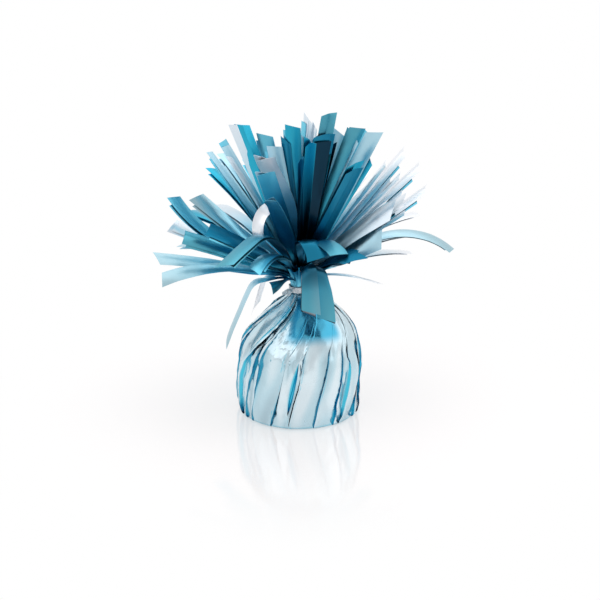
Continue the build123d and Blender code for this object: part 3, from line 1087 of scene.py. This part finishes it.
    def build(self) -> Piece:
        """Build and dress the wrap.

        Returns:
            The finished piece.
        """
        rows = self.stations()
        pleat_columns = self.panel_columns + self.tuck_columns
        columns = self.pleats * pleat_columns
        sheet = FilmSheet("film_outer_wrap")
        for vert, around, up in sheet.lay(columns, len(rows) - 1):
            reach, height, depth, swirl = rows[round(up * (len(rows) - 1))]
            column = round(around * columns) % columns
            pleat = column // pleat_columns
            place, crest, tucked = self.section(column, height)
            angle = 2 * pi / self.pleats * place + radians(swirl)
            turn = Vector((cos(angle), sin(angle)))
            full = ease((reach - self.neck_radius) / self.full_beyond_neck)
            full *= ease(height / self.full_above_base)
            bow = self.bows.at(pleat, height) * sin(pi * crest)
            drawn = max(self.taut.share(turn, height), self.covered.share(turn, height))
            deep = max(self.least_depth, self.usual_depth + self.depths.at(pleat, height))
            fold = depth * deep * (1 - self.drawn_flat * drawn)
            out = self.relief(turn, height) + bow + self.bulge(angle, height)
            radius = max(0.0, reach - fold * (1 - crest) + out * full, reach - depth - self.slack)
            vert.co = (self.lean_at(height) + radius * turn.x, radius * turn.y, height)
            sheet.colour(vert, self.tone(pleat, crest, tucked, turn, height))
        piece = sheet.finish(self.material, merge=SEAM)
        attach(piece, BASE_BODY)
        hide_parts("outer_wrap")
        return piece


@dataclass
class InnerSheet:
    """The plain second sheet between the pleats and the core."""

    material: Material
    wrap: PleatedWrap
    inset: float = 0.95
    underside: float = 0.45
    every: int = 3
    facets: int = 46
    flat: Pair = (0.160, 0.088)

    def build(self) -> Piece:
        """Build and dress the inner sheet.

        Returns:
            The finished piece.
        """
        sheet = FilmSheet("film_inner_wrap")
        profile = []
        for reach, height, depth, _ in self.wrap.stations()[::self.every]:
            radius = max(0.0, reach - depth - self.inset)
            profile.append(sheet.bm.verts.new((radius, 0, max(height, self.underside))))
        edges = [sheet.bm.edges.new(pair) for pair in zip(profile, profile[1:])]
        bmesh.ops.spin(
            sheet.bm, geom=[*profile, *edges], cent=(0, 0, 0), axis=(0, 0, 1), angle=2 * pi,
            steps=self.facets, use_merge=True,
        )
        for vert in sheet.bm.verts:
            vert.co.x += self.wrap.lean_at(vert.co.z)
            sheet.colour(vert, SKY.value)
        piece = sheet.finish(self.material, merge=SEAM)
        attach(piece, BASE_BODY)
        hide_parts("inner_wrap")
        return piece


@dataclass
class GatheredFilm:
    """Crumpled film just above the tie: fluted funnels, one inside the other.

    Each funnel is (radius at its foot, radius at its mouth, height of its top, number of flutes).
    """

    material: Material
    gather: Gather
    funnels: Rows = ((3.7, 6.6, 69.5, 13), (2.6, 4.8, 70.5, 11), (1.4, 3.0, 71.0, 7))
    flute_columns: int = 6
    rows: int = 12
    flare: float = 1.4
    flute_depth: float = 0.24
    drift: Crumple = Crumple(1.5, 1.0, 1.0)
    rim: Crumple = Crumple(1.6, 2.0, 2.0, seed=5.0)

    def build(self) -> Piece:
        """Build and dress the gathered film.

        Returns:
            The finished piece.
        """
        sheet = FilmSheet("film_gather")
        foot_height = self.gather.neck_top
        for number, (foot, mouth, top, flutes) in enumerate(self.funnels):
            for vert, around, up in sheet.lay(flutes * self.flute_columns, self.rows):
                angle = ring_angle(around)
                x, y = cos(angle), sin(angle)
                flute = sin(angle * flutes + self.drift.at(x, y, number))
                reach = foot + (mouth - foot) * up**self.flare
                reach *= 1 + self.flute_depth * up * flute
                height = foot_height + (top - foot_height) * up
                height += up * self.rim.at(x, y, number)
                vert.co = (reach * x, reach * y, height)
                sheet.colour(vert, mix(SKY.value, DEEP.value, up))
        piece = sheet.finish(self.material, merge=SEAM)
        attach(piece, BASE_BODY)
        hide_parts("fringe_gather")
        return piece


@dataclass
class NeckTie:
    """Clear film wound round the neck, with a short crinkled tail."""

    material: Material
    thickness: float = 0.12
    inside: float = 4.3
    off_neck: float = 0.35
    band: float = 2.6
    middle: float = 59.05
    band_grid: tuple[int, int] = (64, 6)
    band_ripple: Crumple = Crumple(0.32, 6.0, 6.0, 2.4)
    band_sway: Crumple = Crumple(0.3, 3.0, 3.0, seed=9.0)
    tail_azimuth: float = 236.0
    tail_length: float = 6.2
    tail_width: float = 4.2
    tail_root: Pair = (0.3, 0.6)
    tail_pinch: float = 0.35
    tail_opens: float = 1.4
    tail_arch: Pair = (0.9, 2.6)
    tail_droop: float = 1.6
    tail_grid: tuple[int, int] = (18, 12)
    tail_rumple: Crumple = Crumple(1.1, 5.0, 2.2, seed=13.0)
    tail_ruffle: Crumple = Crumple(0.5, 4.0, 3.0, seed=21.0)

    def build(self) -> Piece:
        """Build and dress the tie.

        Returns:
            The finished piece.
        """
        sheet = FilmSheet("film_neck_tie", thickness=self.thickness)
        self.lay_band(sheet)
        self.lay_tail(sheet)
        piece = sheet.finish(self.material, merge=SEAM)
        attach(piece, BASE_BODY)
        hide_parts("neck_tie")
        return piece

    def lay_band(self, sheet: FilmSheet) -> None:
        """Lay the rippled band round the neck."""
        for vert, around, up in sheet.lay(*self.band_grid):
            angle = ring_angle(around)
            x, y = cos(angle), sin(angle)
            radius = self.inside + self.off_neck + self.band_ripple.at(x, y, up)
            height = self.middle + self.band * (up - 0.5) + self.band_sway.at(x, y)
            vert.co = (radius * x, radius * y, height)

    def lay_tail(self, sheet: FilmSheet) -> None:
        """Lay the crinkled tail, pinched where it leaves the band."""
        turn = radians(self.tail_azimuth)
        outward = Vector((cos(turn), sin(turn), 0))
        sideways = Vector((-sin(turn), cos(turn), 0))
        out, up = self.tail_root
        arch, arch_rate = self.tail_arch
        for vert, run, breadth in sheet.lay(*self.tail_grid):
            side = 2 * breadth - 1
            pinch = self.tail_pinch + (1 - self.tail_pinch) * ease(run * self.tail_opens)
            reach = self.inside + out + self.tail_length * run
            rise = arch * sin(run * arch_rate) - self.tail_droop * run * run
            rise += self.tail_rumple.at(run, side) * run
            spread = side * self.tail_width / 2 * pinch + self.tail_ruffle.at(run, side)
            vert.co = outward * reach + sideways * spread + Vector((0, 0, self.middle + up + rise))


@dataclass
class HeavyCore:
    """The cast core, which keeps its solid and takes a casting's finish."""

    material: Material
    node: str = "weight_core"

    def dress(self) -> None:
        """Give the core its finish."""
        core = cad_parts[self.node]
        core.data.materials.clear()
        core.data.materials.append(self.material)
        LOG.info("%s keeps its solid", self.node)


@dataclass(frozen=True)
class Softbox:
    """A square lamp: where it hangs and its side in metres, and its power in watts."""

    name: str
    place: Point
    size: float
    power: float


@dataclass
class Studio:
    """Pale floor, soft light and the camera."""

    look_at: Point = (0.0, 0.0, 53.0)
    distance: float = 800.0
    elevation: float = 19.0
    view_width: float = 276.0
    shift: float = 1 / 600
    clip: Pair = (0.05, 50.0)
    floor_size: float = 4.0
    floor_gap: float = 0.05
    floor_tone: Colour = (0.95, 0.90, 0.90)
    floor_roughness: float = 0.09
    floor_polish: float = 3.0
    floor_white: float = 0.45
    fade_between: Pair = (0.05, 0.15)
    shade_towards: Point = (-0.2, -0.92, 0.35)
    room_tones: tuple[tuple[float, Colour], ...] = ((0.62, (1.0, 1.0, 1.0)), (1.0, (0.74, 0.74, 0.75)))
    lamps_aim: Point = (0.0, 0.0, 0.05)
    lamps: tuple[Softbox, ...] = (
        Softbox("overhead_softbox", (0.2, 0.30, 1.2), 1.2, 2.6),
        Softbox("left_softbox", (-0.90, -0.70, 0.95), 1.4, 3.0),
        Softbox("right_softbox", (1.10, -0.10, 0.75), 1.2, 2.0),
    )

    def build(self) -> None:
        """Build the floor, the light and the camera."""
        self.build_floor()
        self.build_world()
        for lamp in self.lamps:
            self.build_lamp(lamp)
        self.build_camera()
        bpy.context.scene.view_settings.view_transform = "Standard"

    def build_floor(self) -> None:
        """Lay a polished pale floor, white but for the ground about the object."""
        bm = bmesh.new()
        bmesh.ops.create_grid(bm, x_segments=1, y_segments=1, size=self.floor_size)
        bmesh.ops.translate(bm, vec=(0, 0, -self.floor_gap * MM), verts=bm.verts)
        mesh = bpy.data.meshes.new("floor")
        bm.to_mesh(mesh)
        bm.free()
        mesh.materials.append(self.floor_material())
        floor = bpy.data.objects.new("floor", mesh)
        bpy.context.scene.collection.objects.link(floor)

    def floor_material(self) -> Material:
        """Make the floor's material, whose white is seen by camera, glossy and transmission rays only.

        Returns:
            The material.
        """
        material, bench = blank_material("pale_floor")
        tone = (*self.floor_tone, 1.0)
        surface = {"Base Color": tone, "Roughness": self.floor_roughness, "IOR": self.floor_polish}
        paint = bench.add("BsdfPrincipled", surface)
        white = bench.add("Emission", {"Color": (1.0, 1.0, 1.0, 1.0)})
        ray = bench.add("LightPath").outputs
        seen = bench.add("Math", {0: ray["Is Camera Ray"], 1: ray["Is Glossy Ray"]}, use_clamp=True)
        shown = bench.add("Math", {0: seen, 1: ray["Is Transmission Ray"]}, use_clamp=True)
        place = bench.add("TexCoord").outputs["Object"]
        away = bench.add("VectorMath", {0: place}, operation="LENGTH").outputs["Value"]
        near, far = self.fade_between
        spans = {"From Min": near, "From Max": far, "To Min": self.floor_white, "Value": away}
        fade = bench.add("MapRange", spans, interpolation_type="SMOOTHSTEP")
        part = bench.add("Math", {0: shown, 1: fade}, operation="MULTIPLY")
        bench.add("OutputMaterial", {"Surface": bench.add("MixShader", {"Fac": part, 1: paint, 2: white})})
        return material

    def build_world(self) -> None:
        """Light the room white all round, a little shaded towards the front."""
        world = bpy.data.worlds.new("studio")
        world.use_nodes = True
        bpy.context.scene.world = world
        bench = Bench(world.node_tree)
        ways = {0: bench.add("TexCoord"), 1: Vector(self.shade_towards).normalized()}
        facing = bench.add("VectorMath", ways, operation="DOT_PRODUCT").outputs["Value"]
        ramp = bench.add("ValToRGB", {"Fac": bench.add("MapRange", {"From Min": -1.0, "Value": facing})})
        for stop, (position, tone) in zip(ramp.color_ramp.elements, self.room_tones):
            stop.position, stop.color = position, (*tone, 1.0)
        bench.add("OutputWorld", {"Surface": bench.add("Background", {"Color": ramp})})

    def build_lamp(self, softbox: Softbox) -> None:
        """Hang one softbox that faces the object."""
        lamp = bpy.data.lights.new(softbox.name, "AREA")
        lamp.size = softbox.size
        lamp.energy = softbox.power
        hung = bpy.data.objects.new(softbox.name, lamp)
        hung.location = softbox.place
        aim = Vector(self.lamps_aim) - Vector(softbox.place)
        hung.rotation_euler = aim.to_track_quat("-Z", "Y").to_euler()
        bpy.context.scene.collection.objects.link(hung)

    def build_camera(self) -> None:
        """Set the camera at the photograph's viewing angle."""
        tilt = radians(self.elevation)
        forward = Vector((0, cos(tilt), -sin(tilt)))
        data = bpy.data.cameras.new("camera")
        data.lens = data.sensor_width * self.distance / self.view_width
        data.shift_x = self.shift
        data.clip_start, data.clip_end = self.clip
        camera = bpy.data.objects.new("camera", data)
        camera.location = (Vector(self.look_at) - forward * self.distance) * MM
        camera.rotation_euler = forward.to_track_quat("-Z", "Y").to_euler()
        bpy.context.scene.collection.objects.link(camera)
        bpy.context.scene.camera = camera


def main() -> None:
    """Build every piece of the balloon weight in order, then the studio round it."""
    logging.basicConfig(level=logging.INFO, format="%(message)s")
    gather = Gather()
    film = FilmFinish().material()
    wrap_film = FilmFinish(
        "wrap_film", (0.16, 0.28), coat=0.35, crease_per_m=150.0, crease_mm=0.5, crease_stretch=4.0
    ).material()
    clear = CLEAR_FILM.material()
    HeavyCore(CAST_CORE.material()).dress()
    wrap = PleatedWrap(wrap_film)
    wrap_piece = wrap.build()
    InnerSheet(film, wrap).build()
    NeckTie(clear).build()
    GatheredFilm(film, gather).build()
    fringe = FringePlume(gather, film).build()
    fringe += FrontFlap(gather, film).build()
    Studio().build()


if __name__ == "__main__":
    main()
